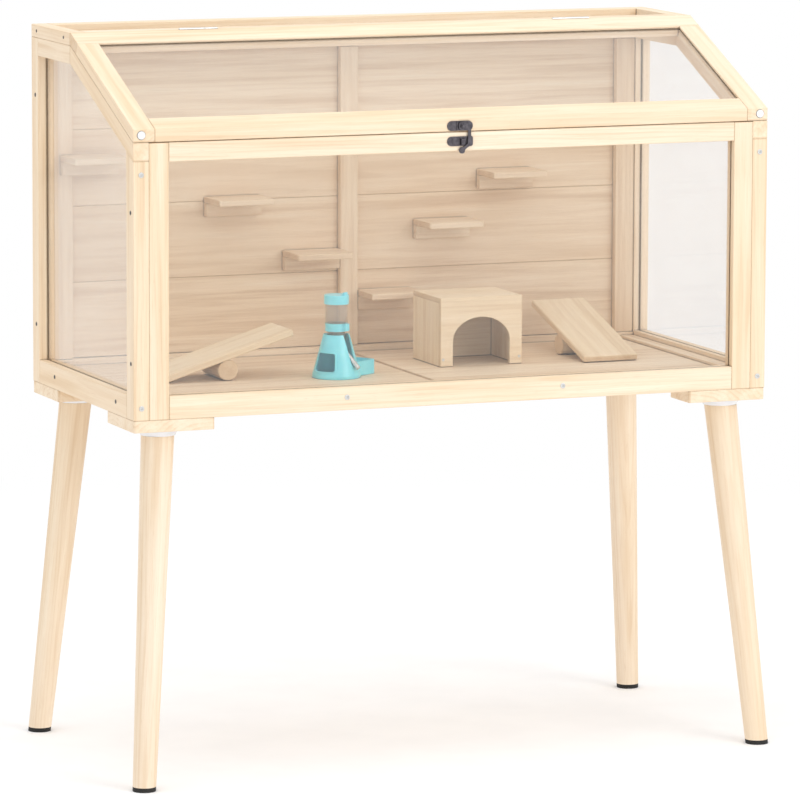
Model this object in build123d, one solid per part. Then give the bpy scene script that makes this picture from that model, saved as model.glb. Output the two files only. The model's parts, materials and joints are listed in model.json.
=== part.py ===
from build123d import *
import os
from math import asin, atan, atan2, degrees, hypot

# Hamster cage on four splayed legs. Millimetres, +Z up, +X to the right as seen from the
# front, the front faces -Y. The origin is on the ground, below the middle of the cabin.

# Cabin
cabin_width = 1000
cabin_depth = 456
cabin_z = 539  # underside of the cabin above the ground
front_height = 401  # cabin front, up to the underside of the lid
back_height = 538
roof_depth = 178  # flat part of the roof, behind the lid
roof_thick = 19
edge_ease = 0.7  # small chamfer on every sawn edge

# Side frames
side_thick = 24
rear_post = 30
front_post = 31
bottom_rail = 35
top_rail = 27
groove = 5  # how far a pane runs into the wood around it
acrylic = 3

# Front frame
front_thick = 24
front_stile = 30
front_top_rail = 27.5
front_bottom_rail = 34

# Back and floor
plank_thick = 10
plank_face = 15  # plank face behind the inner face of the rear posts
plank_count = 4
batten_thick = 12
center_batten = 29
end_batten = 31
floor_top = 24
floor_thick = 9
floor_batten = 22
floor_batten_top = 28.5
floor_seam = 7  # open groove between the two panels, over the bearer
back_bottom_rail = 33
bearer_width = 60

# Roof
hinge_rail = 30
vent_mesh_thick = 1.2

# Legs
block_x = 124
block_y = 118
block_thick = 17.5
block_corner = 4
block_cut = 52  # the inner corner of a block is sawn off at 45 degrees
leg_top_x = 447.5
leg_top_y = 182.5
foot_x = 489.5
foot_y = 238.5
leg_top_r = 24.5
leg_foot_r = 17
plate_thick = 10
plate_r = 31
foot_thick = 6.5
bolt_r = 4
bolt_in_leg = 38
bolt_in_block = 11

# Shelves: left edge, height of the top above the cabin underside, and what it stands off
shelf_places = [(-465, 342, True), (-232, 270, False), (-105, 183, False),
                (15, 118, False), (110, 223, False), (215, 296.5, False)]
shelf_length = 90
shelf_depth = 70
shelf_thick = 9
cleat_thick = 12
cleat_height = 21

# Lid
lid_plumb = 19  # thickness measured straight up
lid_gap = 0.6
lid_stile = 33
lid_front_rail = 40  # along the slope
lid_top_rail_start = 273.5  # along the slope
lid_pane_low = 11  # pane's lower face above the lid's lower face
cap_r = 6
cap_x = 487.5
cap_height = 412
cap_ring = 0.6  # width of the open ring round the cap
lid_swing_gap = 0.4

# Hinges
hinge_places = (-300, 300)
hinge_length = 60
hinge_leaf = 1.2
hinge_leaf_height = 15
knuckle_r = 1.9
hinge_pin_r = 0.9
pin_clearance = 0.05

# Latch
latch_x = 4
plate_half = 19.8
latch_plate_thick = 1.2
rivet_x = 7.6
rivet_z = 409.3
keeper_low = 380.4
keeper_high = 394.2
plate_low = 402.6
plate_high = 417
arm_gap = 0.5
arm_thick = 1.5
arm_head = (1, 23.4, 403, 416.6)  # left, right, low and high, as for the neck and lobe below
arm_neck = (16.2, 20.8, 390, 408)
arm_lobe = (15.9, 23.7, 379.8, 395)
arm_link_width = 4.4
arm_tail = (6.8, 374)
arm_tail_r = 4.7
bridge_x = 8.3
bridge_width = 6.6
bridge_low = 381.8
bridge_high = 391.2
keeper_slots = [(-1, 4.6), (12.2, 14.6)]
keeper_slot_floor = 0.3
plate_groove_x = -1.7

# Hut
hut_x = 129
hut_front_y = -16
hut_width = 133
hut_height = 104
hut_depth = 110
hut_board = 7
arch_half = 46.5
arch_spring = 38
arch_rise = 36

# Seesaws
plank_low_arm = 101.5  # from the log's middle to the end that starts on the floor
plank_high_arm = 113
plank_width = 89
plank_board = 10
plank_corner = 4
log_r = 15.6
log_length = 84
log_seat = 0.8  # flat on the log where the plank sits
rest_gap = 0.3
left_log = (-286, 2)
right_log = (328.7, 55.5)

# Water bottle stand
stand_place = (-121, -56)
stand_turn = 33
cone_foot_r = 36
cone_foot_band = 4
cone_top_r = 19.5
cone_height = 64
cone_wall = 2
slot_top_half = 7.6
slot_round_r = 4.3
slot_round_z = 22
window_low = 11
window_high = 38
window_top_half = 14.2
window_bottom_half = 18.4
window_lip = 1.6
dish_reach = 66.7
dish_half = 23
dish_height = 21.5
bottle_r = 17.3
neck_r = 13.8
bottle_wall = 1.5
neck_low = 48
bottle_low = 81
bottle_high = 119
collar_r = 16.8
collar_low = 69
cap_low = 109.5
cap_high = 123
cap_outer_r = 18.5
nozzle_r = 3.5
nozzle_from = (5, 49.4)
nozzle_to = (40, 15.6)

# Worked out from the above
half_w = cabin_width / 2
half_d = cabin_depth / 2
front_y = -half_d
ridge_y = half_d - roof_depth
front_top = cabin_z + front_height
back_top = cabin_z + back_height
frame_top = back_top - roof_thick
slope = (frame_top - front_top) / (ridge_y - front_y)
pitch = degrees(atan(slope))
side_in = half_w - side_thick
rear_in = half_d - rear_post
front_in = front_y + front_post
wall_y = rear_in + plank_face
batten_y = wall_y - batten_thick
floor_z = cabin_z + floor_top
block_z = cabin_z - block_thick
leg_top_z = block_z - plate_thick
lid_low = front_top + lid_gap

nodes = {}


def eased(solid, ease=edge_ease):
    return chamfer(solid.edges(), ease)


def bar(x0, x1, y0, y1, z0, z1, ease=edge_ease):
    block = Pos((x0 + x1) / 2, (y0 + y1) / 2, (z0 + z1) / 2) * Box(x1 - x0, y1 - y0, z1 - z0)
    return eased(block, ease) if ease else block


def slab_yz(points, x0, x1, ease=edge_ease):
    # A board whose outline is given in Y and Z
    face = Plane.YZ.offset(x0) * make_face(Polyline(*points, close=True))
    board = extrude(face, x1 - x0)
    return eased(board, ease) if ease else board


def plate_xz(sketch, y0, y1):
    # A plate whose outline is drawn in X and Z
    return extrude(Plane.XZ.offset(-y1) * sketch, y1 - y0)


def both_sides(solid):
    return [solid, mirror(solid, Plane.YZ)]


def less(solids, tools):
    kept = []
    for solid in solids:
        box = solid.bounding_box()
        for tool in tools:
            other = tool.bounding_box()
            apart = any(getattr(box.min, a) > getattr(other.max, a)
                        or getattr(other.min, a) > getattr(box.max, a) for a in "XYZ")
            if not apart:
                solid = solid - tool
        kept.append(solid)
    return kept


def keep(name, *solids):
    nodes[name] = list(solids)


# Screws: a head that stands proud of the wood and a plain shank
def screw_bore(head_r, proud, sunk, shank_r, length):
    head = Pos(0, 0, (proud - sunk) / 2) * Cylinder(head_r, proud + sunk)
    shank = Pos(0, 0, -sunk - length / 2) * Cylinder(shank_r, length)
    return head + shank


def screw(head_r, proud, sunk, shank_r, length):
    body = screw_bore(head_r, proud, sunk, shank_r, length)
    rim = body.edges().filter_by(GeomType.CIRCLE).sort_by(Axis.Z)[-1]
    body = fillet(rim, proud * 0.7)
    for turn in (45, 135):
        body -= Pos(0, 0, proud) * Rot(0, 0, turn) * Box(head_r * 1.1, head_r * 0.25, proud * 1.2)
    return body


side_screw = dict(head_r=3.1, proud=0.5, sunk=1.2, shank_r=1.6, length=20)
roof_screw = dict(head_r=2.4, proud=0.4, sunk=1.0, shank_r=1.2, length=22)
front_screw = dict(head_r=4.0, proud=0.8, sunk=1.2, shank_r=2.0, length=20)
hut_screw = dict(head_r=2.2, proud=0.3, sunk=0.8, shank_r=1.0, length=14)
side_screw_places = [(half_d - 17, 433), (half_d - 17, 88), (front_y + 12, 300),
                     (front_y + 12, 82), (127, 18.5), (-149, 18.5)]
roof_screw_places = [(half_d - 24, 529), (ridge_y + 29, 529)]
front_screw_places = [(-488, 355), (488, 355), (-488, 18), (488, 18), (-171, 19), (171, 19)]


def placed_screws(kind, make):
    found = []
    if kind == "front":
        for x, z in front_screw_places:
            found.append(Plane(origin=(x, front_y, cabin_z + z), z_dir=(0, -1, 0)) * make(**front_screw))
        return found
    for places, size in ((side_screw_places, side_screw), (roof_screw_places, roof_screw)):
        for y, z in places:
            for side in (-1, 1):
                seat = Plane(origin=(side * half_w, y, cabin_z + z), z_dir=(side, 0, 0))
                found.append(seat * make(**size))
    return found


wood_bores = placed_screws("side", screw_bore) + placed_screws("front", screw_bore)
keep("frame_screws", *placed_screws("side", screw))
keep("front_screws", *placed_screws("front", screw))


# Side frames, each with a pane held in a groove
def side_profile(bottom, back, top, front):
    # The cabin's side outline, drawn in by a width along each edge
    y0 = front_y + front
    y1 = half_d - back
    return [(y0, cabin_z + bottom), (y1, cabin_z + bottom), (y1, frame_top - top),
            (ridge_y, frame_top - top), (y0, front_top - top + slope * front)]


pane_mid = half_w - side_thick / 2 - 2
side_pane = slab_yz(side_profile(bottom_rail - groove, rear_post - groove, top_rail - groove,
                                 front_post - groove),
                    -pane_mid - acrylic / 2, -pane_mid + acrylic / 2, 0)
side_panes = both_sides(side_pane)
rear_side_post = bar(-half_w, -side_in, rear_in, half_d, cabin_z, frame_top)
low = front_top - top_rail
front_side_post = slab_yz([(front_y, cabin_z), (front_in, cabin_z),
                           (front_in, low + slope * front_post), (front_y, low)],
                          -half_w, -side_in)
side_bottom = bar(-half_w, -side_in, front_in, rear_in, cabin_z, cabin_z + bottom_rail)
side_top = bar(-half_w, -side_in, ridge_y, rear_in, frame_top - top_rail, frame_top)
side_slope = slab_yz([(front_y, low), (ridge_y, frame_top - top_rail),
                      (ridge_y, frame_top), (front_y, front_top)], -half_w, -side_in)
side_cuts = side_panes + wood_bores
keep("side_panes", *side_panes)
keep("side_posts", *less(both_sides(rear_side_post) + both_sides(front_side_post), side_cuts))
keep("side_bottom_rails", *less(both_sides(side_bottom), side_cuts))
keep("side_top_rails", *less(both_sides(side_top), side_cuts))
keep("side_slope_rails", *less(both_sides(side_slope), side_cuts))

# Front frame and pane
front_in_y = front_y + front_thick
front_frame_top = front_top - 0.5
stile_in = side_in - front_stile
front_pane = bar(-stile_in - groove, stile_in + groove, front_y + 10.5, front_y + 10.5 + acrylic,
                 cabin_z + front_bottom_rail - groove,
                 front_frame_top - front_top_rail + groove, 0)
stile = bar(-side_in, -stile_in, front_y, front_in_y, cabin_z, front_frame_top)
front_top_bar = bar(-stile_in, stile_in, front_y, front_in_y,
                    front_frame_top - front_top_rail, front_frame_top)
front_bottom_bar = bar(-stile_in, stile_in, front_y, front_in_y, cabin_z,
                       cabin_z + front_bottom_rail)
keep("front_pane", front_pane)
keep("front_stiles", *less(both_sides(stile), [front_pane]))
keep("front_top_rail", *less([front_top_bar], [front_pane]))
keep("front_bottom_rail", *less([front_bottom_bar], [front_pane] + wood_bores))

# Back wall: planks between two rails, with battens over their ends and middle
back_low = cabin_z + back_bottom_rail
back_high = frame_top - 26
plank_height = (back_high - back_low) / plank_count
for number in range(plank_count):
    low_edge = back_low + number * plank_height
    keep(f"back_plank_{number + 1}",
         bar(-side_in, side_in, wall_y, wall_y + plank_thick, low_edge, low_edge + plank_height, 1.0))
keep("back_rails", bar(-side_in, side_in, rear_in, half_d, cabin_z, back_low),
     bar(-side_in, side_in, rear_in, half_d, back_high, frame_top))
keep("back_center_batten",
     bar(-center_batten / 2, center_batten / 2, batten_y, wall_y, back_low, back_high))
keep("back_end_battens",
     *both_sides(bar(-side_in, -side_in + end_batten, batten_y, wall_y, back_low, back_high)))

# Floor: two panels that meet over a bearer, with a batten along each side
floor_edge = side_in - floor_batten
for side, x0, x1 in (("left", -floor_edge, -floor_seam / 2), ("right", floor_seam / 2, floor_edge)):
    keep(f"floor_panel_{side}",
         bar(x0, x1, front_in_y, rear_in, floor_z - floor_thick, floor_z, 1.0))
keep("floor_side_battens",
     *both_sides(bar(-side_in, -floor_edge, front_in_y, rear_in, cabin_z, cabin_z + floor_batten_top)))
keep("floor_bearer",
     bar(-bearer_width / 2, bearer_width / 2, front_in_y, rear_in, cabin_z, floor_z - floor_thick))

# Flat roof frame, open in the middle over a vent mesh
roof_opening_y = ridge_y + hinge_rail
roof_side_bar = bar(-half_w, -side_in, ridge_y + lid_swing_gap, half_d, frame_top, back_top)
keep("roof_side_rails", *less(both_sides(roof_side_bar), wood_bores))
keep("roof_back_rail", bar(-side_in, side_in, rear_in, half_d, frame_top, back_top))
keep("roof_vent_mesh", bar(-side_in + 0.5, side_in - 0.5, ridge_y + hinge_rail / 2, rear_in,
                           frame_top - vent_mesh_thick, frame_top, 0))


# Legs: a tapered round leg on a slant, screwed up into a block with a hanger bolt
def leg_frame(side_x, side_y):
    foot = Vector(side_x * foot_x, side_y * foot_y, 0)
    top = Vector(side_x * leg_top_x, side_y * leg_top_y, block_z)
    return foot, (top - foot).normalized(), (top - foot).length


def tapered(side_x, side_y, z0, z1):
    # The stretch of the leg's slanted cone between two level planes
    foot, along, length = leg_frame(side_x, side_y)
    spare = 40
    grow = (leg_top_r - leg_foot_r) / length
    cone = Cone(leg_foot_r - grow * spare, leg_top_r + grow * spare, length + 2 * spare)
    whole = Plane(origin=foot + along * (length / 2), z_dir=along) * cone
    cut = Pos(side_x * foot_x, side_y * foot_y, (z0 + z1) / 2) * Box(400, 400, z1 - z0)
    return whole & cut


def hanger_bolt(side_x, side_y):
    foot, along, length = leg_frame(side_x, side_y)
    middle = length + (bolt_in_block - bolt_in_leg) / 2
    return Plane(origin=foot + along * middle, z_dir=along) * Cylinder(bolt_r, bolt_in_leg + bolt_in_block)


def leg_block(side_x, side_y):
    outer_x, inner_x = side_x * half_w, side_x * (half_w - block_x)
    outer_y, inner_y = side_y * half_d, side_y * (half_d - block_y)
    points = [(outer_x, outer_y), (inner_x, outer_y), (inner_x, inner_y + side_y * block_cut),
              (inner_x + side_x * block_cut, inner_y), (outer_x, inner_y)]
    outline = make_face(Polyline(*points, close=True))
    block = Pos(0, 0, block_z) * extrude(outline, block_thick, dir=(0, 0, 1))
    block = fillet(block.edges().filter_by(Axis.Z), block_corner)
    return chamfer(block.edges().group_by(Axis.Z)[0] + block.edges().group_by(Axis.Z)[-1], edge_ease)


def leg_plate(side_x, side_y):
    seat = Pos(side_x * leg_top_x, side_y * leg_top_y, leg_top_z + plate_thick / 2)
    return seat * Cone(leg_top_r + 1, plate_r, plate_thick)


corners = [(-1, -1), (1, -1), (-1, 1), (1, 1)]
bolts = [hanger_bolt(*corner) for corner in corners]
keep("leg_bolts", *bolts)
keep("legs", *less([tapered(*corner, foot_thick, leg_top_z) for corner in corners], bolts))
keep("leg_feet", *[tapered(*corner, 0, foot_thick) for corner in corners])
keep("leg_plates", *less([leg_plate(*corner) for corner in corners], bolts))
keep("leg_blocks", *less([leg_block(*corner) for corner in corners], bolts))


# Shelves: a board on a cleat
def shelf(left, top, on_batten):
    back = batten_y if on_batten else wall_y
    top_z = cabin_z + top
    under = top_z - shelf_thick
    board = bar(left, left + shelf_length, back - shelf_depth, back, under, top_z, 0)
    upright = board.edges().filter_by(Axis.Z).group_by(Axis.Y)[0]
    board = fillet(upright, 4)
    board = eased(board, 0.8)
    cleat = bar(left, left + shelf_length, back - cleat_thick, back, under - cleat_height, under)
    return board, cleat


shelves = [shelf(*place) for place in shelf_places]
keep("shelf_boards", *[board for board, cleat in shelves])
keep("shelf_cleats", *[cleat for board, cleat in shelves])

# Lid. Its own frame starts at the lower front edge, with Y up the slope and Z through it.
lid_end = ridge_y - lid_swing_gap
lid_profile = [(front_y, lid_low), (lid_end, lid_low + slope * (lid_end - front_y)),
               (lid_end, lid_low + slope * (lid_end - front_y) + lid_plumb),
               (front_y, lid_low + lid_plumb)]
lid_frame = Pos(0, front_y, lid_low) * Rot(pitch, 0, 0)


def along_slope(u0, u1, n0=-60, n1=60, x0=-half_w - 5, x1=half_w + 5):
    return lid_frame * bar(x0, x1, u0, u1, n0, n1, 0)


lid_in = half_w - lid_stile
lid_pane = along_slope(lid_front_rail - groove, lid_top_rail_start + groove, lid_pane_low,
                       lid_pane_low + acrylic, -lid_in - groove, lid_in + groove)
lid_top_bar = eased(slab_yz(lid_profile, -half_w, half_w, 0) & along_slope(lid_top_rail_start, 400))
lid_front_bar = eased(slab_yz(lid_profile, -lid_in, lid_in, 0) & along_slope(-60, lid_front_rail))
lid_side_bar = eased(slab_yz(lid_profile, -half_w, -lid_in, 0) & along_slope(-60, lid_top_rail_start))


def lid_cap():
    cap = Pos(0, 0, -1.5) * Cylinder(cap_r, 5)
    return fillet(cap.edges().filter_by(GeomType.CIRCLE).sort_by(Axis.Z)[-1], 0.8)


caps = [Plane(origin=(side * cap_x, front_y, cabin_z + cap_height), z_dir=(0, -1, 0)) * lid_cap()
        for side in (-1, 1)]
keep("lid_caps", *caps)
keep("lid_pane", lid_pane)
cap_seats = [Pos(0, -0.2, 0) * Plane(origin=(side * cap_x, front_y, cabin_z + cap_height), z_dir=(0, 1, 0))
             * Cylinder(cap_r + cap_ring, 3.6) for side in (-1, 1)]
keep("lid_stiles", *less(both_sides(lid_side_bar), [lid_pane] + caps + cap_seats))

# Two butt hinges, let into the lid's top rail and the roof's hinge rail
axis_z = lid_low + slope * (ridge_y - front_y) + lid_plumb


def along_x(radius, x0, x1):
    return Pos((x0 + x1) / 2, ridge_y, axis_z) * Rot(0, 90, 0) * Cylinder(radius, x1 - x0)


def hinge_leaf_at(x, side):
    # side -1 is the lid's leaf with the middle knuckle, 1 the roof's with the outer two
    half = hinge_length / 2
    third = hinge_length / 6
    near, far = ridge_y + side * 0.3, ridge_y + side * (0.3 + hinge_leaf)
    leaf = bar(x - half, x + half, min(near, far), max(near, far), axis_z - hinge_leaf_height, axis_z, 0)
    if side < 0:
        leaf = leaf - along_x(knuckle_r + 0.3, x - half - 1, x - third)
        leaf = leaf - along_x(knuckle_r + 0.3, x + third, x + half + 1)
        leaf = leaf + along_x(knuckle_r, x - third + 0.3, x + third - 0.3)
    else:
        leaf = leaf - along_x(knuckle_r + 0.3, x - third, x + third)
        leaf = leaf + along_x(knuckle_r, x - half, x - third) + along_x(knuckle_r, x + third, x + half)
    return leaf - along_x(hinge_pin_r + pin_clearance, x - half - 1, x + half + 1)


def hinge_pocket(x, side):
    near, far = ridge_y, ridge_y + side * (0.3 + hinge_leaf)
    leaf = bar(x - hinge_length / 2, x + hinge_length / 2, min(near, far), max(near, far),
               axis_z - hinge_leaf_height, axis_z + 2, 0)
    return leaf + along_x(knuckle_r + 0.4, x - hinge_length / 2 - 0.5, x + hinge_length / 2 + 0.5)


roof_hinge_bar = bar(-side_in, side_in, ridge_y + lid_swing_gap, roof_opening_y, frame_top, back_top)
keep("roof_hinge_rail", *less([roof_hinge_bar], [hinge_pocket(x, 1) for x in hinge_places]))
keep("lid_top_rail",
     *less([lid_top_bar], [lid_pane] + [hinge_pocket(x, -1) for x in hinge_places]))
keep("hinge_leaves_lid", *[hinge_leaf_at(x, -1) for x in hinge_places])
keep("hinge_leaves_roof", *[hinge_leaf_at(x, 1) for x in hinge_places])
keep("hinge_pins", *[along_x(hinge_pin_r, x - hinge_length / 2 - 0.4, x + hinge_length / 2 + 0.4)
                     for x in hinge_places])


# Latch: a swinging hook on the lid that closes round the keeper's bridge
def rounded_plate(z0, z1, corner):
    return Pos(latch_x, cabin_z + (z0 + z1) / 2) * RectangleRounded(2 * plate_half, z1 - z0, corner)


plate_y = front_y - latch_plate_thick
arm_y1 = plate_y - arm_gap
arm_y0 = arm_y1 - arm_thick
rivet_at = (rivet_x, cabin_z + rivet_z)


def rounded_block(edges, corner):
    x0, x1, z0, z1 = edges
    return Pos((x0 + x1) / 2, cabin_z + (z0 + z1) / 2) * RectangleRounded(x1 - x0, z1 - z0, corner)


def latch_arm():
    # Head on the rivet, neck down past the joint of lid and cabin, lobe, slanted link and round tail
    lobe_x = (arm_lobe[0] + arm_lobe[1]) / 2
    lobe_z = arm_lobe[2] + arm_link_width
    tail_x, tail_z = arm_tail
    lean = degrees(atan2(lobe_z - tail_z, lobe_x - tail_x))
    link = Rectangle(hypot(lobe_x - tail_x, lobe_z - tail_z), arm_link_width)
    link = Pos((lobe_x + tail_x) / 2, cabin_z + (lobe_z + tail_z) / 2) * Rot(0, 0, lean) * link
    outline = rounded_block(arm_head, 6.5) + rounded_block(arm_neck, 1) + rounded_block(arm_lobe, 3.6)
    outline = outline + link + Pos(tail_x, cabin_z + tail_z) * Circle(arm_tail_r)
    return plate_xz(outline - Pos(*rivet_at) * Circle(2.1), arm_y0, arm_y1)


def latch_keeper():
    plate = plate_xz(rounded_plate(keeper_low, keeper_high, 6.7), plate_y, front_y)
    for x0, x1 in keeper_slots:
        plate = plate - bar(x0, x1, plate_y - 1, front_y - keeper_slot_floor, cabin_z + keeper_low + 2,
                            cabin_z + keeper_high - 1.6, 0)
    bridge = bar(bridge_x - bridge_width / 2, bridge_x + bridge_width / 2, arm_y0 - 1.2, plate_y,
                 cabin_z + bridge_low, cabin_z + bridge_high, 0)
    return plate + fillet(bridge.edges().group_by(Axis.Y)[0], 1.1)


latch_plate = plate_xz(rounded_plate(plate_low, plate_high, 7), plate_y, front_y)
latch_plate = latch_plate - bar(plate_groove_x - 0.6, plate_groove_x + 0.6, plate_y - 1, plate_y + 0.7,
                                cabin_z + plate_low - 1, cabin_z + plate_high + 1, 0)
rivet = Pos(rivet_at[0], arm_y0 - 0.3, rivet_at[1]) * Rot(90, 0, 0) * Cylinder(3.4, 1.2)
rivet = fillet(rivet.edges().filter_by(GeomType.CIRCLE).sort_by(Axis.Y)[0], 0.5)
rivet = Pos(0, -0.4, 0) * rivet
rivet_stem = Pos(rivet_at[0], (arm_y0 + front_y) / 2 - 0.05, rivet_at[1]) * Rot(90, 0, 0)
rivet = rivet + rivet_stem * Cylinder(2.05, front_y - arm_y0 + 6)
keep("latch_plate", latch_plate - rivet)
keep("latch_arm", latch_arm())
keep("latch_keeper", latch_keeper())
keep("latch_rivet", rivet)
keep("lid_front_rail", *less([lid_front_bar], [lid_pane, rivet]))


# Hut: front board with an arch, two sides, a back and a top
def hut_arch():
    centre = Pos(hut_x, floor_z + arch_spring)
    legs = Pos(hut_x, floor_z + arch_spring / 2) * Rectangle(2 * arch_half, arch_spring)
    return centre * Ellipse(arch_half, arch_rise) + legs


hut_left = hut_x - hut_width / 2
hut_right = hut_x + hut_width / 2
hut_back_y = hut_front_y + hut_depth
hut_base = floor_z + rest_gap
hut_top = hut_base + hut_height
hut_screws = []
for screw_x in (hut_left + 4.5, hut_right - 4.5):
    hut_screws.append(Plane(origin=(screw_x, hut_front_y, hut_base + 11), z_dir=(0, -1, 0)))
hut_bores = [seat * screw_bore(**hut_screw) for seat in hut_screws]
hut_front = bar(hut_left, hut_right, hut_front_y, hut_front_y + hut_board, hut_base, hut_top)
hut_front = hut_front - plate_xz(hut_arch(), hut_front_y - 1, hut_front_y + hut_board + 1)
hut_inner_y = hut_front_y + hut_board
hut_side = bar(hut_left, hut_left + hut_board, hut_inner_y, hut_back_y, hut_base, hut_top - hut_board)
hut_other = Pos(hut_width - hut_board, 0, 0) * hut_side
keep("hut_front", *less([hut_front], hut_bores))
keep("hut_sides", *less([hut_side, hut_other], hut_bores))
keep("hut_back", bar(hut_left + hut_board, hut_right - hut_board, hut_back_y - hut_board, hut_back_y,
                     hut_base, hut_top - hut_board))
keep("hut_roof", bar(hut_left, hut_right, hut_inner_y, hut_back_y, hut_top - hut_board, hut_top))
keep("hut_screws", *[seat * screw(**hut_screw) for seat in hut_screws])

# Seesaw: a plank that tips over a log. The low end rests on the floor.
seat_r = log_r - log_seat
plank_length = plank_low_arm + plank_high_arm


def tip_onto(arm):
    # How far the plank leans when the end of this arm is on the floor
    return degrees(atan2(seat_r, arm) + asin(log_r / hypot(arm, seat_r)))


tip = tip_onto(plank_low_arm)


def seesaw(place, turn):
    middle = (plank_high_arm - plank_low_arm) / 2
    plank = Pos(middle, 0, seat_r + plank_board / 2) * Box(plank_length, plank_width, plank_board)
    plank = fillet(plank.edges().filter_by(Axis.Z), plank_corner)
    plank = eased(plank, 1.5)
    log = Rot(90, 0, 0) * Cylinder(log_r, log_length)
    log = chamfer(log.edges().filter_by(GeomType.CIRCLE), 1)
    log = log & bar(-50, 50, -60, 60, -50, seat_r, 0)
    seat = Pos(*place, floor_z + log_r + rest_gap) * Rot(0, 0, turn) * Rot(0, -tip, 0)
    return seat * plank, seat * log


for side, place, turn in (("left", left_log, 0), ("right", right_log, 90)):
    plank, log = seesaw(place, turn)
    keep(f"{side}_seesaw_plank", plank)
    keep(f"{side}_seesaw_log", log)
print("seesaw tip", round(tip, 2), "degrees, swing", round(tip + tip_onto(plank_high_arm), 2))

# Water bottle stand, drawn about its own middle with the dish along +X, then turned
stand_z = floor_z + rest_gap
stand_frame = Pos(*stand_place, stand_z) * Rot(0, 0, stand_turn)


def turned(points):
    return revolve(Plane.XZ * make_face(Polyline(*points, close=True)), Axis.Z)


def cone_body(extra=0.0):
    return turned([(0, 0), (cone_foot_r + extra, 0), (cone_foot_r + extra, cone_foot_band),
                   (cone_top_r + extra, cone_height), (0, cone_height)])


def window_outline(extra=0.0):
    low_half = window_bottom_half + extra
    high_half = window_top_half + extra
    points = [(-low_half, window_low - extra), (low_half, window_low - extra),
              (high_half, window_high + extra), (-high_half, window_high + extra)]
    outline = make_face(Polyline(*points, close=True))
    return fillet(outline.vertices(), 4 + extra)


def slot_outline():
    round_end = Pos(0, slot_round_z) * Circle(slot_round_r)
    sides = make_face(Polyline((-slot_round_r, slot_round_z), (slot_round_r, slot_round_z),
                               (slot_top_half, cone_height + 1), (-slot_top_half, cone_height + 1),
                               close=True))
    return round_end + sides


def bottle_base():
    inner = turned([(0, cone_wall), (cone_foot_r - cone_wall, cone_wall),
                    (cone_foot_r - cone_wall, cone_foot_band),
                    (cone_top_r - cone_wall, cone_height), (cone_top_r - cone_wall, cone_height + 1),
                    (0, cone_height + 1)])
    window_side = Plane.YZ.offset(-60)
    lip = extrude(window_side * (window_outline(window_lip) - window_outline()), 60)
    lip = (cone_body(0.7) - cone_body()) & lip
    shell = cone_body() - inner + lip
    shell = shell - extrude(window_side * window_outline(), 60)
    return shell - extrude(Plane.XZ * slot_outline(), 60)


def bottle_dish():
    tray = bar(0, dish_reach, -dish_half, dish_half, 0, dish_height, 0)
    tray = fillet(tray.edges().filter_by(Axis.Z).group_by(Axis.X)[-1], 3)
    hollow = bar(0, dish_reach - cone_wall, -dish_half + cone_wall, dish_half - cone_wall,
                 cone_wall, dish_height + 1, 0)
    tray = tray - (hollow - cone_body(cone_wall + 0.01))
    return tray - cone_body(0.01)


def bottle_tube():
    outer = turned([(0, neck_low), (neck_r, neck_low), (neck_r, bottle_low), (bottle_r, bottle_low),
                    (bottle_r, bottle_high), (0, bottle_high)])
    wall = bottle_wall
    inner = turned([(0, neck_low + wall), (neck_r - wall, neck_low + wall), (neck_r - wall, bottle_low),
                    (neck_r - wall, bottle_low + wall), (bottle_r - wall, bottle_low + wall),
                    (bottle_r - wall, bottle_high + 1), (0, bottle_high + 1)])
    return outer - inner


def ring(outer_r, inner_r, z0, z1):
    return Pos(0, 0, (z0 + z1) / 2) * (Cylinder(outer_r, z1 - z0) - Cylinder(inner_r, z1 - z0))


def bottle_collar():
    collar = ring(collar_r, neck_r, collar_low, bottle_low)
    lug = bar(-5, 5, -21, -collar_r + 1.5, collar_low + 1, bottle_low - 0.5, 0)
    lug = fillet(lug.edges().filter_by(Axis.Z).group_by(Axis.Y)[0], 2)
    for turn in (-24, 24, 66, 114, 156, 204):
        collar -= Rot(0, 0, turn - 90) * Pos(collar_r, 0, (collar_low + bottle_low) / 2) * Box(1, 1.2, 20)
    return collar + lug


def bottle_cap():
    outer = Pos(0, 0, (cap_low + cap_high) / 2) * Cylinder(cap_outer_r, cap_high - cap_low)
    outer = fillet(outer.edges().filter_by(GeomType.CIRCLE).sort_by(Axis.Z)[-1], 1.2)
    hollow = Pos(0, 0, (cap_low + cap_high) / 2 - 2) * Cylinder(bottle_r + 0.3, cap_high - cap_low)
    tab_points = [(-11, cap_high - 0.5), (-17.6, cap_high - 0.5), (-17, cap_high + 4.5),
                  (-15, cap_high + 4.5)]
    tab = extrude(Plane.YZ.offset(-4) * make_face(Polyline(*tab_points, close=True)), 8)
    return outer - hollow + tab


def bottle_nozzle():
    (r0, z0), (r1, z1) = nozzle_from, nozzle_to
    start = Vector(0, -r0, z0)
    end = Vector(0, -r1, z1)
    along = (end - start).normalized()
    length = (end - start).length
    spare = 8
    rod = Plane(origin=start - along * spare, z_dir=along) * Pos(0, 0, (length + spare) / 2)
    tube = rod * Cylinder(nozzle_r, length + spare)
    tip_edge = tube.edges().filter_by(GeomType.CIRCLE).sort_by(Axis.Z)[0]
    tube = fillet(tip_edge, 0.7)
    tube = tube & bar(-20, 20, -60, 20, -20, neck_low, 0)
    tube = tube - Plane(origin=end - along * 3, z_dir=along) * Cylinder(2.1, 6.2)
    ball = Pos(*(end - along * 1.2)) * Sphere(2.0)
    return tube, ball


keep("bottle_base", stand_frame * bottle_base())
keep("bottle_dish", stand_frame * bottle_dish())
keep("bottle_tube", stand_frame * bottle_tube())
keep("bottle_collar", stand_frame * bottle_collar())
keep("bottle_cap", stand_frame * bottle_cap())
keep("bottle_nozzle", *[stand_frame * piece for piece in bottle_nozzle()])

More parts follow.
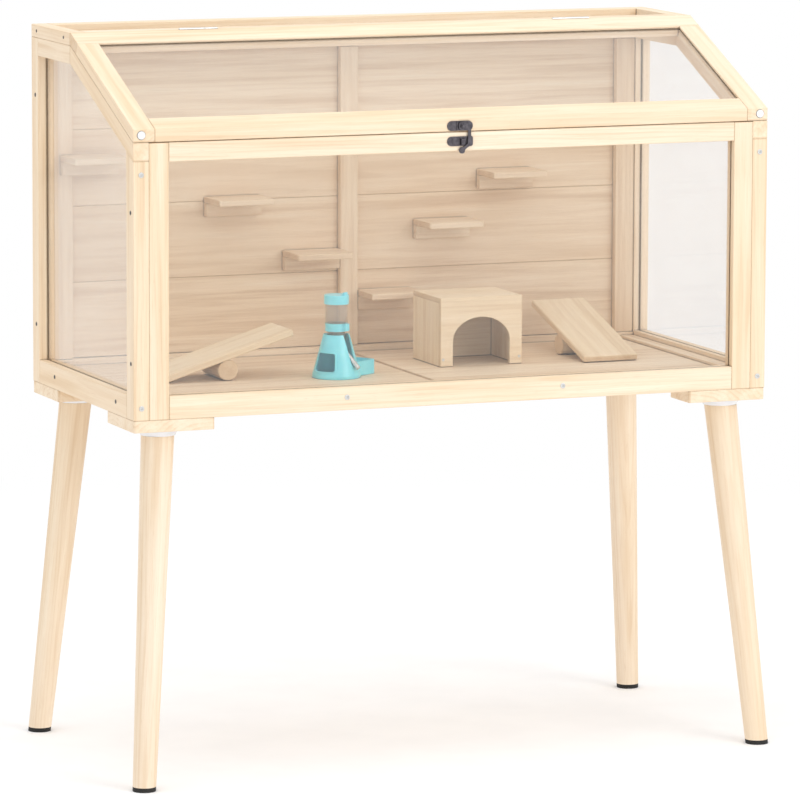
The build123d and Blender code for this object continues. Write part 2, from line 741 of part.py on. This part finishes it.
os.makedirs("parts", exist_ok=True)
for name, solids in nodes.items():
    found = [solid for piece in solids for solid in piece.solids()]
    if len(found) != len(solids):
        print("solids differ", name, len(found), len(solids))
    export_step(found[0] if len(found) == 1 else Compound(children=found), f"parts/{name}.step")
print("nodes", len(nodes))
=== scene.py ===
import json
import math
import random

import bpy
import numpy as np
from mathutils import Matrix, Vector


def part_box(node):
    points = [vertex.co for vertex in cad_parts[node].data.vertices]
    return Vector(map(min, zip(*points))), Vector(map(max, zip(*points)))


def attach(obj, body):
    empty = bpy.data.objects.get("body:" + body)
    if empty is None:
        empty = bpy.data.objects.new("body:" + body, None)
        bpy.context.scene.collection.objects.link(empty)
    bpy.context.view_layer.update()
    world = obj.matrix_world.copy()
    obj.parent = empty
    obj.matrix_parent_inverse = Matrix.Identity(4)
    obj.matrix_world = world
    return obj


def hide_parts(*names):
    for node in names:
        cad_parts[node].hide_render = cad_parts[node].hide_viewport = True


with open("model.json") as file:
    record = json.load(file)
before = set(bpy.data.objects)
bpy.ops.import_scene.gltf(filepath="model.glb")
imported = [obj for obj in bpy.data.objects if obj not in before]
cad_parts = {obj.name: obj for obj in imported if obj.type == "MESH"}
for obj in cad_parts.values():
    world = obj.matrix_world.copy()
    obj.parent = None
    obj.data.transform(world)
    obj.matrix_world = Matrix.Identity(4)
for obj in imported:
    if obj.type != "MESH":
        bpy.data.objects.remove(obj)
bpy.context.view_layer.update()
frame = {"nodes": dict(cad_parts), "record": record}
nodes = frame["nodes"]
bpy.context.scene.view_settings.view_transform = "Standard"
print("frame loaded,", len(nodes), "nodes")


def shade(text):  # a screen colour such as "#efd9b4", made linear
    parts = [int(text[at:at + 2], 16) / 255 for at in (1, 3, 5)]
    return tuple(p / 12.92 if p < 0.04045 else ((p + 0.055) / 1.055) ** 2.4 for p in parts)


class Wire:
    # a socket that takes part in sums, numbers through Math and vectors through Vector Math
    def __init__(self, finish, socket):
        self.finish, self.socket = finish, socket

    def calc(self, operation, *values):
        wires = [value.socket for value in values if isinstance(value, Wire)]
        vector = any(socket.type in ("VECTOR", "RGBA") for socket in wires)
        kind = "VectorMath" if vector else "Math"
        return self.finish.node(kind, {"operation": operation}, dict(enumerate(values)))

    def __add__(self, other):
        return self.calc("ADD", self, other)

    def __radd__(self, other):
        return self.calc("ADD", other, self)

    def __sub__(self, other):
        return self.calc("SUBTRACT", self, other)

    def __rsub__(self, other):
        return self.calc("SUBTRACT", other, self)

    def __mul__(self, other):
        return self.calc("MULTIPLY", self, other)

    def __rmul__(self, other):
        return self.calc("MULTIPLY", other, self)

    def __truediv__(self, other):
        return self.calc("DIVIDE", self, other)

    def __abs__(self):
        return self.calc("ABSOLUTE", self)

    def lower(self, other):
        return self.calc("MINIMUM", self, other)

    def higher(self, other):
        return self.calc("MAXIMUM", self, other)


class Finish:
    # one material and the nodes that make it
    def __init__(self, name):
        self.material = bpy.data.materials.new(name)
        self.material.use_nodes = True
        self.tree = self.material.node_tree
        self.tree.nodes.clear()

    def node(self, kind, settings=None, inputs=None, output=0):
        made = self.tree.nodes.new("ShaderNode" + kind)
        for key, value in (settings or {}).items():
            setattr(made, key, value)
        for key, value in (inputs or {}).items():
            socket = made.inputs[key]
            if isinstance(value, Wire):
                self.tree.links.new(value.socket, socket)
            elif socket.type == "RGBA":
                socket.default_value = (*value, 1)
            elif socket.type == "VECTOR" and isinstance(value, (int, float)):
                socket.default_value = (value, value, value)
            else:
                socket.default_value = value
        return Wire(self, made.outputs[output])

    def place(self):  # the piece's own coordinates, in metres
        return self.node("TexCoord", output="Object")

    def kept(self, name):  # a vector written on the mesh
        return self.node("Attribute", {"attribute_name": name}, output="Vector")

    def split(self, vector):
        first = self.node("SeparateXYZ", inputs={0: vector})
        return [Wire(self, socket) for socket in first.socket.node.outputs]

    def noise(self, vector, detail=2.0, roughness=0.5, scale=1.0):
        return self.node("TexNoise", {}, {"Vector": vector, "Scale": scale, "Detail": detail,
                                          "Roughness": roughness})

    def ease(self, value, low, high):  # 0 below low, 1 above high, soft between; low may be the larger
        if low > high:
            return 1 - self.ease(value, high, low)
        return self.node("MapRange", {"interpolation_type": "SMOOTHSTEP"},
                         {"Value": value, "From Min": low, "From Max": high})

    def tint(self, mask, first, second, way="MIX"):
        return self.node("Mix", {"data_type": "RGBA", "blend_type": way},
                         {0: mask, 6: first, 7: second}, output=2)

    def bump(self, height, strength, distance):
        return self.node("Bump", {}, {"Height": height, "Strength": strength, "Distance": distance})

    def mixed(self, mask, first, second):
        return self.node("MixShader", {}, {0: mask, 1: first, 2: second})

    def openness(self, reach):  # 1 in the open, near 0 deep in a corner
        return self.node("AmbientOcclusion", {"samples": 5}, {"Distance": reach}, output="AO")

    def principled(self, sockets):
        return self.node("BsdfPrincipled", {}, sockets)

    def done(self, shader):
        made = self.tree.nodes.new("ShaderNodeOutputMaterial")
        self.tree.links.new(shader.socket, made.inputs["Surface"])
        return self.material


grainTurn = {"hut_sides": (0, 0, 1)}  # boards whose grain isn't along their longest side
grainWay = (1, 1e-3, 1e-2)  # the end that counts as ahead: +X, or else +Z, or else +Y
snapDegrees = 6  # a board this close to an axis lies along it
joinGap = 2e-6  # corners closer than this are one corner


def solidsOf(mesh):
    # the corner indices and the faces of each separate solid, found by corners in one place
    count = len(mesh.vertices)
    places = np.empty(count * 3)
    mesh.vertices.foreach_get("co", places)
    places = places.reshape(-1, 3)
    shared = np.unique(np.round(places / joinGap).astype(np.int64), axis=0, return_inverse=True)[1]
    shared = shared.reshape(-1)
    owner = list(range(shared.max() + 1))

    def top(at):
        while owner[at] != at:
            owner[at] = owner[owner[at]]
            at = owner[at]
        return at

    faces = np.empty(len(mesh.loop_triangles) * 3, np.int32)
    mesh.loop_triangles.foreach_get("vertices", faces)
    faces = faces.reshape(-1, 3)
    for a, b, c in shared[faces]:
        first = top(a)
        owner[top(b)] = first
        owner[top(c)] = top(first)
    label = np.array([top(at) for at in shared])
    for solid in np.unique(label):
        yield np.flatnonzero(label == solid), faces[label[faces[:, 0]] == solid], places


def grainAxes(faces, places, along=None):
    # along, across and through, from how the board's surface is spread
    corners = places[faces]
    area = np.linalg.norm(np.cross(corners[:, 1] - corners[:, 0], corners[:, 2] - corners[:, 0]), axis=1)
    middle = (corners.mean(1) * area[:, None]).sum(0) / area.sum()
    corners = corners - middle
    total = corners.sum(1)
    spread = np.einsum("f,fci,fcj->ij", area, corners, corners)
    spread = spread + np.einsum("f,fi,fj->ij", area, total, total)
    axes = np.linalg.eigh(spread)[1].T[::-1]
    first = np.array(along if along else axes[0], float)
    last = np.array(axes[2], float)
    close = math.cos(math.radians(snapDegrees))
    for axis in np.eye(3):
        if abs(first @ axis) > close:
            first = axis * np.sign(first @ axis)
        if abs(last @ axis) > close:
            last = axis * np.sign(last @ axis)
    first = first * np.sign(first @ np.array(grainWay) or 1)
    last = last - (last @ first) * first
    last /= np.linalg.norm(last)
    return np.array([first, np.cross(last, first), last])


def writeGrain(name):
    # each corner's place in its own board, half the board's size, and three random numbers a board
    mesh = nodes[name].data
    mesh.calc_loop_triangles()
    boardAt = np.zeros((len(mesh.vertices), 3))
    boardHalf = np.zeros((len(mesh.vertices), 3))
    boardSeed = np.zeros((len(mesh.vertices), 3))
    pick = random.Random(name)
    for members, faces, places in solidsOf(mesh):
        axes = grainAxes(faces, places, grainTurn.get(name))
        own = places[members] @ axes.T
        low, high = own.min(0), own.max(0)
        boardAt[members] = own - (low + high) / 2
        boardHalf[members] = (high - low) / 2
        boardSeed[members] = [pick.random() for _ in range(3)]
    for title, values in (("boardAt", boardAt), ("boardHalf", boardHalf), ("boardSeed", boardSeed)):
        made = mesh.attributes.new(title, "FLOAT_VECTOR", "POINT")
        made.data.foreach_set("vector", values.astype(np.float32).ravel())


grainMarks = {
    "drift": (1.7, 16.0, 16.0), "broad": (3.0, 75.0, 75.0),  # marks a metre along, across and through
    "fibre": (14.0, 620.0, 620.0), "fleck": (55.0, 1500.0, 1500.0),
    "apart": 9.0,  # how far apart two boards are cut from the same grain
    "heartRange": 0.06,  # how much deeper the heart lies below some boards
    "edgeBand": (0.0022, 0.0004), "sawn": (0.0011, 0.0005),  # how far in an edge and an end reach, and are full
    "pore": (0.66, 0.78), "open": (0.8, 0.3), "relief": 0.0005,
}


def pine(name, looks):
    f = Finish(name)
    at = f.kept("boardAt")
    half = f.kept("boardHalf")
    seed = f.kept("boardSeed")
    along, across, through = f.split(at)
    seedA, seedB, seedC = f.split(seed)
    moved = at + seed * grainMarks["apart"]

    # slow drift of colour, broad streaks, fine fibres and pores, all drawn out along the grain
    drift = f.noise(moved * grainMarks["drift"], 2.0)
    broad = f.noise(moved * grainMarks["broad"], 3.0, 0.55)
    fibre = f.noise(moved * grainMarks["fibre"], 3.0, 0.6)
    pores = f.ease(f.noise(moved * grainMarks["fleck"], 1.0), *grainMarks["pore"])

    # year rings round a heart that lies outside the board, so faces show arches and ends show arcs
    heartAcross = (seedA - 0.5) * looks["heartSpread"]
    heartThrough = (seedB * grainMarks["heartRange"] + looks["heartDepth"]) * -1
    wander = (drift - 0.5) * looks["wander"] + along * ((seedC - 0.5) * looks["lean"])
    sideways = across - heartAcross
    deep = through - heartThrough
    apart = sideways * sideways + deep * deep
    rings = (apart.calc("SQRT", apart) + wander) / looks["ringGap"]
    turn = rings.calc("FRACT", rings)
    late = f.ease(turn, 0.35, 0.9) * f.ease(turn, 1.0, 0.9)
    late = late * f.ease(broad, 0.25, 0.75)

    colour = f.tint(f.ease(drift, 0.3, 0.7), shade(looks["light"]), shade(looks["middle"]))
    colour = f.tint(late * looks["ringDepth"], colour, shade(looks["ring"]))
    streak = f.ease(broad, 0.44, 0.68) * f.ease(drift, 0.25, 0.6)
    colour = f.tint(streak * looks["streakDepth"], colour, shade(looks["ring"]))
    colour = f.tint(f.ease(broad, 0.42, 0.3) * looks["paleDepth"], colour, shade(looks["pale"]))
    colour = f.tint(f.ease(fibre, 0.46, 0.72) * looks["fibreDepth"], colour, shade(looks["ring"]))
    colour = f.tint(pores * looks["fleckDepth"], colour, shade(looks["fleck"]))
    colour = f.tint(f.ease(seedB, 0.0, 1.0) * looks["boardShift"], colour, shade(looks["warm"]))

    # sawn ends, a darker band along each board's edges, and painted shade in the seams and corners between
    # boards
    left = half - abs(at)
    leftAlong, leftAcross, leftThrough = f.split(left)
    nearest = leftAlong.lower(leftAcross).lower(leftThrough)
    farthest = leftAlong.higher(leftAcross).higher(leftThrough)
    edge = f.ease(leftAlong + leftAcross + leftThrough - nearest - farthest, *grainMarks["edgeBand"])
    end = f.ease(leftAlong, *grainMarks["sawn"])
    # each board is tinted a darker tone within a couple of millimetres of its edges
    colour = f.tint(edge * looks["edgeDepth"], colour, shade(looks["edgeBand"]))
    colour = f.tint(end * looks["endDepth"], colour, shade(looks["fleck"]))
    # painted shade: ambient occlusion darkens the wood toward a dark brown deep in seams and corners
    seamShade = f.ease(f.openness(looks["seamShadeReach"]), *grainMarks["open"])
    colour = f.tint(seamShade * looks["seamShadeDepth"], colour, shade(looks["seamShade"]))

    height = fibre * 0.5 + broad * 0.3 + late * 0.35 - pores * 0.6
    roughness = looks["roughness"] + (fibre - 0.5) * 0.14 - late * 0.06 + end * 0.12
    return f.done(f.principled({"Base Color": colour, "Roughness": roughness, "IOR": looks["ior"],
                                "Specular IOR Level": looks["specular"],
                                "Normal": f.bump(height, looks["bump"], grainMarks["relief"])}))


frameLooks = {
    "light": "#f2e0c8", "middle": "#efd9bb", "pale": "#f6ead5", "ring": "#d5b388", "fleck": "#b48b5b",
    "warm": "#ebcfad", "edgeBand": "#e3c7a2", "seamShade": "#5d4025", "ringGap": 0.0062, "ringDepth": 0.4,
    "streakDepth": 0.42, "paleDepth": 0.5, "fibreDepth": 0.22, "fleckDepth": 0.25, "boardShift": 0.3,
    "edgeDepth": 0.25, "endDepth": 0.3, "seamShadeDepth": 0.75, "seamShadeReach": 0.0035, "heartSpread": 0.09,
    "heartDepth": 0.02, "wander": 0.03, "lean": 0.04, "roughness": 0.55, "bump": 0.25, "ior": 1.5,
    "specular": 0.35,
}
boardLooks = dict(frameLooks, light="#eedbc1", middle="#e8d2b5", pale="#f1e3cc", ring="#c5a17b",
                  warm="#e0c4a4", ringGap=0.0105, ringDepth=0.3, streakDepth=0.5, fibreDepth=0.25,
                  heartSpread=0.22, wander=0.05, seamShadeDepth=0.85)
toyLooks = dict(frameLooks, light="#efdec3", middle="#e9d5b5", pale="#f4e6cf", ring="#c9a67e",
                warm="#e0c5a2", ringGap=0.0055, ringDepth=0.3, streakDepth=0.4)
legLooks = dict(frameLooks, light="#f1e1cd", middle="#ecd8bd", pale="#f6ebd8", ring="#d0ae86",
                warm="#e8d0ae", ringGap=0.0045, ringDepth=0.42, streakDepth=0.45, wander=0.022,
                heartSpread=0.05, heartDepth=0.012, endDepth=0.2)


paneLooks = {"clear": "#fefefe", "haze": "#f6f1ea", "hazeLow": 0.012, "hazeHigh": 0.04, "polish": 0.025,
             "edge": "#e2cfae", "edgeDepth": 0.75}
bottleLooks = {"clear": "#f6f3ee", "haze": "#dfd9cf", "hazeLow": 0.09, "hazeHigh": 0.15, "polish": 0.06,
               "edge": "#f2eee6", "edgeDepth": 0.0}
clearMarks = {"wipe": (3.0, 3.0, 7.0), "scratch": (900.0, 900.0, 45.0), "scratchDepth": 0.02, "ior": 1.49,
              "sawn": (0.00002, 0.00008), "filmRoughness": 0.55, "paintedEdgeLight": 0.5, "edgeMatt": 0.8}


def clearSheet(name, looks):
    f = Finish(name)
    inside = f.node("NewGeometry", output="Backfacing")
    index = clearMarks["ior"]
    mirror = f.node("Fresnel", {}, {"IOR": inside * (1 / index - index) + index})
    at = f.place()
    wipe = f.noise(at * clearMarks["wipe"], 3.0, 0.6)
    scratch = f.noise(at * clearMarks["scratch"], 1.0)
    dust = f.ease(wipe, 0.35, 0.75) * (looks["hazeHigh"] - looks["hazeLow"]) + looks["hazeLow"]
    dust = dust + f.ease(scratch, 0.72, 0.8) * clearMarks["scratchDepth"]

    # only the sawn edges of a sheet lie inside its thickness; they get a warm film and emit a painted warm
    # light
    left = f.kept("boardHalf") - abs(f.kept("boardAt"))
    sawn = f.ease(f.split(left)[2], *clearMarks["sawn"])
    dust = dust.higher(sawn * looks["edgeDepth"])
    through = f.node("BsdfTransparent", {}, {"Color": shade(looks["clear"])})
    film = f.principled({"Base Color": f.tint(sawn, shade(looks["haze"]), shade(looks["edge"])),
                         "Roughness": clearMarks["filmRoughness"],
                         "Emission Strength": clearMarks["paintedEdgeLight"],
                         "Emission Color": f.tint(sawn, (0, 0, 0), shade(looks["edge"]))})
    gloss = f.node("BsdfGlossy", {}, {"Color": (1, 1, 1), "Roughness": looks["polish"]})
    mirror = mirror * (1 - sawn * clearMarks["edgeMatt"])
    return f.done(f.mixed(mirror, f.mixed(dust, through, film), gloss))


mouldMarks = {"cloud": 38.0, "grain": 2600.0, "flow": (60.0, 60.0, 420.0), "rub": 190.0,
              "cornerShadeReach": 0.004, "ior": 1.48, "coatRoughness": 0.12, "glowReach": 0.002, "relief": 0.0002}


def moulded(name, looks):
    f = Finish(name)
    at = f.place()
    cloud = f.noise(at * mouldMarks["cloud"], 2.0)
    grainy = f.noise(at * mouldMarks["grain"], 2.0)
    flow = f.noise(at * mouldMarks["flow"], 2.0)
    rub = f.ease(f.noise(at * mouldMarks["rub"], 4.0, 0.7), 0.6, 0.75)
    colour = f.tint(f.ease(cloud, 0.3, 0.7), shade(looks["first"]), shade(looks["second"]))
    colour = f.tint(rub * looks["rubDepth"], colour, shade(looks["rub"]))
    # painted shade: ambient occlusion darkens the plastic toward a darker corner colour in corners and
    # creases
    corner = f.ease(f.openness(mouldMarks["cornerShadeReach"]), 0.8, 0.25)
    colour = f.tint(corner * looks["cornerShadeDepth"], colour, shade(looks["corner"]))
    roughness = looks["roughness"] + (cloud - 0.5) * 0.1 + rub * 0.12
    height = grainy * looks["grain"] + flow * 0.3
    return f.done(f.principled({"Base Color": colour, "Roughness": roughness, "IOR": mouldMarks["ior"],
                                "Coat Weight": looks["coat"],
                                "Coat Roughness": mouldMarks["coatRoughness"],
                                "Subsurface Weight": looks["glow"],
                                "Subsurface Scale": mouldMarks["glowReach"],
                                "Normal": f.bump(height, looks["bump"], mouldMarks["relief"])}))


metalMarks = {"patch": 170.0, "rub": 520.0, "cornerShadeReach": 0.002, "corner": "#171614", "cornerShadeDepth": 0.7,
              "relief": 0.0002}


def metal(name, looks):
    f = Finish(name)
    at = f.place()
    brushed = f.noise(at * looks["brush"], 3.0, 0.6)
    patch = f.noise(at * metalMarks["patch"], 3.0, 0.6)
    rub = f.ease(f.noise(at * metalMarks["rub"], 4.0, 0.7), 0.56, 0.7)
    colour = f.tint(f.ease(patch, 0.3, 0.7), shade(looks["first"]), shade(looks["second"]))
    colour = f.tint(rub * looks["rubDepth"], colour, shade(looks["rub"]))
    # painted shade: ambient occlusion darkens the metal toward near-black in corners and creases
    corner = f.ease(f.openness(metalMarks["cornerShadeReach"]), 0.8, 0.25)
    colour = f.tint(corner * metalMarks["cornerShadeDepth"], colour, shade(metalMarks["corner"]))
    roughness = looks["roughness"] + (brushed - 0.5) * 0.22 + rub * 0.06
    return f.done(f.principled({"Base Color": colour, "Metallic": looks["metallic"], "Roughness": roughness,
                                "Normal": f.bump(brushed + patch * 0.5, looks["bump"],
                                                 metalMarks["relief"])}))


turquoiseLooks = {"first": "#86e5f1", "second": "#7adcea", "rub": "#c0f4f7", "rubDepth": 0.3,
                  "corner": "#2b8f9c", "cornerShadeDepth": 0.55, "roughness": 0.34, "grain": 0.4, "coat": 0.25,
                  "glow": 0.12, "bump": 0.12}
whiteLooks = {"first": "#eeeef0", "second": "#e6e6e8", "rub": "#d9d4c8", "rubDepth": 0.25,
              "corner": "#8a8376", "cornerShadeDepth": 0.6, "roughness": 0.38, "grain": 0.4, "coat": 0.15,
              "glow": 0.05, "bump": 0.12}
rubberLooks = {"first": "#191817", "second": "#211f1e", "rub": "#4b4743", "rubDepth": 0.35,
               "corner": "#080808", "cornerShadeDepth": 0.5, "roughness": 0.68, "grain": 0.9, "coat": 0.0,
               "glow": 0.0, "bump": 0.35}
gunLooks = {"first": "#676368", "second": "#4c494e", "rub": "#97939a", "rubDepth": 0.3, "metallic": 0.95,
            "roughness": 0.36, "brush": (500.0, 500.0, 1400.0), "bump": 0.2}
darkScrewLooks = dict(gunLooks, first="#6b6664", second="#504c4a", rub="#aca8a4", roughness=0.32)
brightLooks = {"first": "#e2e2e1", "second": "#d2d2d0", "rub": "#efefec", "rubDepth": 0.3, "metallic": 0.9,
               "roughness": 0.3, "brush": (900.0, 900.0, 900.0), "bump": 0.12}
steelLooks = dict(brightLooks, first="#dcdcda", second="#cfcfcc", roughness=0.2,
                  brush=(1400.0, 1400.0, 90.0))
wireLooks = dict(brightLooks, first="#b9bbbb", second="#9a9d9e", rub="#dfe1e1", roughness=0.42)

finishes = {
    "frame_wood": pine("framePine", frameLooks),
    "board_wood": pine("boardPine", boardLooks),
    "toy_wood": pine("toyPine", toyLooks),
    "leg_wood": pine("legPine", legLooks),
    "acrylic": clearSheet("clearAcrylic", paneLooks),
    "clear_plastic": clearSheet("clearBottle", bottleLooks),
    "turquoise_plastic": moulded("turquoisePlastic", turquoiseLooks),
    "white_plastic": moulded("whitePlastic", whiteLooks),
    "black_rubber": moulded("blackRubber", rubberLooks),
    "gunmetal": metal("gunmetal", gunLooks),
    "dark_screw": metal("darkScrew", darkScrewLooks),
    "bright_screw": metal("brightScrew", brightLooks),
    "steel": metal("bottleSteel", steelLooks),
    "wire_mesh": metal("galvanisedWire", wireLooks),
}
for part in frame["record"]["subparts"]:
    name, slotName = part["node"], part["material_slot"]
    if slotName.endswith("wood") or slotName == "acrylic":
        writeGrain(name)
    nodes[name].data.materials.clear()
    nodes[name].data.materials.append(finishes[slotName])
print("finishes on", len(nodes), "nodes")


weave = {"pitch": 0.0098, "wire": 0.0008, "sides": 6, "steps": 4}


def wireRun(start, end, step, phase):
    # one wavy wire as rings of corners from start to end, a wire's radius up and down
    sides, radius = weave["sides"], weave["wire"] / 2
    start, end = Vector(start), Vector(end)
    length = (end - start).length
    along = (end - start) / length
    side = Vector((-along.y, along.x, 0))
    count = max(2, round(length / step) + 1)
    rings = []
    for at in range(count):
        gone = length * at / (count - 1)
        rise = radius * math.cos(math.pi * gone / weave["pitch"] + phase)
        middle = start + along * gone + Vector((0, 0, rise))
        rings.append([middle + (side * math.cos(a) + Vector((0, 0, math.sin(a)))) * radius
                      for a in (2 * math.pi * k / sides for k in range(sides))])
    return rings


def wovenMesh():
    low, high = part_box("roof_vent_mesh")
    pitch, radius, sides = weave["pitch"], weave["wire"] / 2, weave["sides"]
    level = (low.z + high.z) / 2
    across = round((high.x - low.x) / pitch)
    deep = round((high.y - low.y) / pitch)
    gapX, gapY = (high.x - low.x) / across, (high.y - low.y) / deep
    runs = []
    for k in range(deep):
        y = low.y + gapY * (k + 0.5)
        phase = math.pi * (k % 2 + 0.5)
        runs.append(((low.x + radius, y, level), (high.x - radius, y, level), phase, gapX))
    for k in range(across):
        x = low.x + gapX * (k + 0.5)
        phase = math.pi * (k % 2 + 1.5)
        runs.append(((x, low.y + radius, level), (x, high.y - radius, level), phase, gapY))
    corners, faces = [], []
    for start, end, phase, gap in runs:
        rings = wireRun(start, end, gap / weave["steps"], phase)
        first = len(corners)
        corners += [tuple(corner) for ring in rings for corner in ring]
        for at in range(len(rings) - 1):
            for k in range(sides):
                a, b = first + at * sides + k, first + at * sides + (k + 1) % sides
                faces.append((a, a + sides, b + sides, b))
        faces.append(tuple(first + k for k in range(sides)))
        faces.append(tuple(first + (len(rings) - 1) * sides + k for k in reversed(range(sides))))
    mesh = bpy.data.meshes.new("wovenWire")
    mesh.from_pydata(corners, [], faces)
    mesh.polygons.foreach_set("use_smooth", [True] * len(mesh.polygons))
    mesh.materials.append(finishes["wire_mesh"])
    piece = bpy.data.objects.new("wovenWire", mesh)
    bpy.context.scene.collection.objects.link(piece)
    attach(piece, "cage")
    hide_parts("roof_vent_mesh")


wovenMesh()
print("woven wire made")


floorLooks = {"size": 60.0, "squares": 24, "first": "#fbfafa", "second": "#f8f7f7", "mottle": 9.0,
              "roughness": 0.75, "specular": 0.2, "fadeFrom": 1.3, "fadeTo": 2.6}
roomLight = {"colour": (1, 1, 1, 1), "strength": 1.0}
keyLight = {"place": (2.4, -4.6, 2.7), "aim": (0.0, 0.0, 0.7), "width": 2.6, "height": 2.2, "power": 75.0,
            "colour": (1.0, 0.99, 0.97)}
topLight = {"place": (-0.6, -0.6, 4.2), "aim": (0.0, 0.0, 0.8), "width": 3.0, "height": 2.4, "power": 34.0,
            "colour": (0.82, 0.93, 1.0)}
view = {"place": (-3.303, -8.2015, 1.7802), "turn": -21.958, "tip": -8.145, "lean": -0.198,
        "lens": 267.53, "sensor": 36.0}


def paleFloor():
    # pale squares round the cage that fade into an even white
    size, steps = floorLooks["size"] / 2, floorLooks["squares"]
    row = steps + 1
    corners = [(size * (2 * i / steps - 1), size * (2 * j / steps - 1), 0.0)
               for j in range(row) for i in range(row)]
    faces = [(j * row + i, j * row + i + 1, (j + 1) * row + i + 1, (j + 1) * row + i)
             for j in range(steps) for i in range(steps)]
    mesh = bpy.data.meshes.new("paleFloor")
    mesh.from_pydata(corners, [], faces)
    f = Finish("paleFloor")
    at = f.place()
    mottle = f.noise(at * floorLooks["mottle"], 3.0)
    colour = f.tint(f.ease(mottle, 0.3, 0.7), shade(floorLooks["first"]), shade(floorLooks["second"]))
    far = f.ease(f.node("VectorMath", {"operation": "LENGTH"}, {0: at}, output="Value"),
                 floorLooks["fadeFrom"], floorLooks["fadeTo"])
    matt = f.principled({"Base Color": colour, "Roughness": floorLooks["roughness"],
                         "Specular IOR Level": floorLooks["specular"]})
    glow = f.node("Emission", {}, {"Color": (1, 1, 1), "Strength": 1.0})
    mesh.materials.append(f.done(f.mixed(far, matt, glow)))
    piece = bpy.data.objects.new("paleFloor", mesh)
    bpy.context.scene.collection.objects.link(piece)


def softLight(name, looks):
    lamp = bpy.data.lights.new(name, "AREA")
    lamp.shape = "RECTANGLE"
    lamp.size, lamp.size_y = looks["width"], looks["height"]
    lamp.energy, lamp.color = looks["power"], looks["colour"]
    piece = bpy.data.objects.new(name, lamp)
    piece.location = looks["place"]
    toward = Vector(looks["aim"]) - Vector(looks["place"])
    piece.rotation_euler = toward.to_track_quat("-Z", "Y").to_euler()
    bpy.context.scene.collection.objects.link(piece)


def studio():
    world = bpy.data.worlds.new("studio")
    world.use_nodes = True
    world.node_tree.nodes["Background"].inputs["Color"].default_value = roomLight["colour"]
    world.node_tree.nodes["Background"].inputs["Strength"].default_value = roomLight["strength"]
    bpy.context.scene.world = world
    softLight("keyLight", keyLight)
    softLight("topLight", topLight)
    lens = bpy.data.cameras.new("camera")
    lens.sensor_width = view["sensor"]
    lens.lens = view["lens"]
    camera = bpy.data.objects.new("camera", lens)
    turned = (Matrix.Rotation(math.radians(view["turn"]), 4, "Z")
              @ Matrix.Rotation(math.radians(view["tip"]), 4, "X")
              @ Matrix.Rotation(math.radians(view["lean"]), 4, "Y"))
    upright = Matrix.Rotation(math.radians(90), 4, "X")  # a camera looks along -Z, and this turns that to +Y
    camera.matrix_world = Matrix.Translation(view["place"]) @ turned @ upright
    bpy.context.scene.collection.objects.link(camera)
    bpy.context.scene.camera = camera


paleFloor()
studio()
print("floor, lights and camera ready")
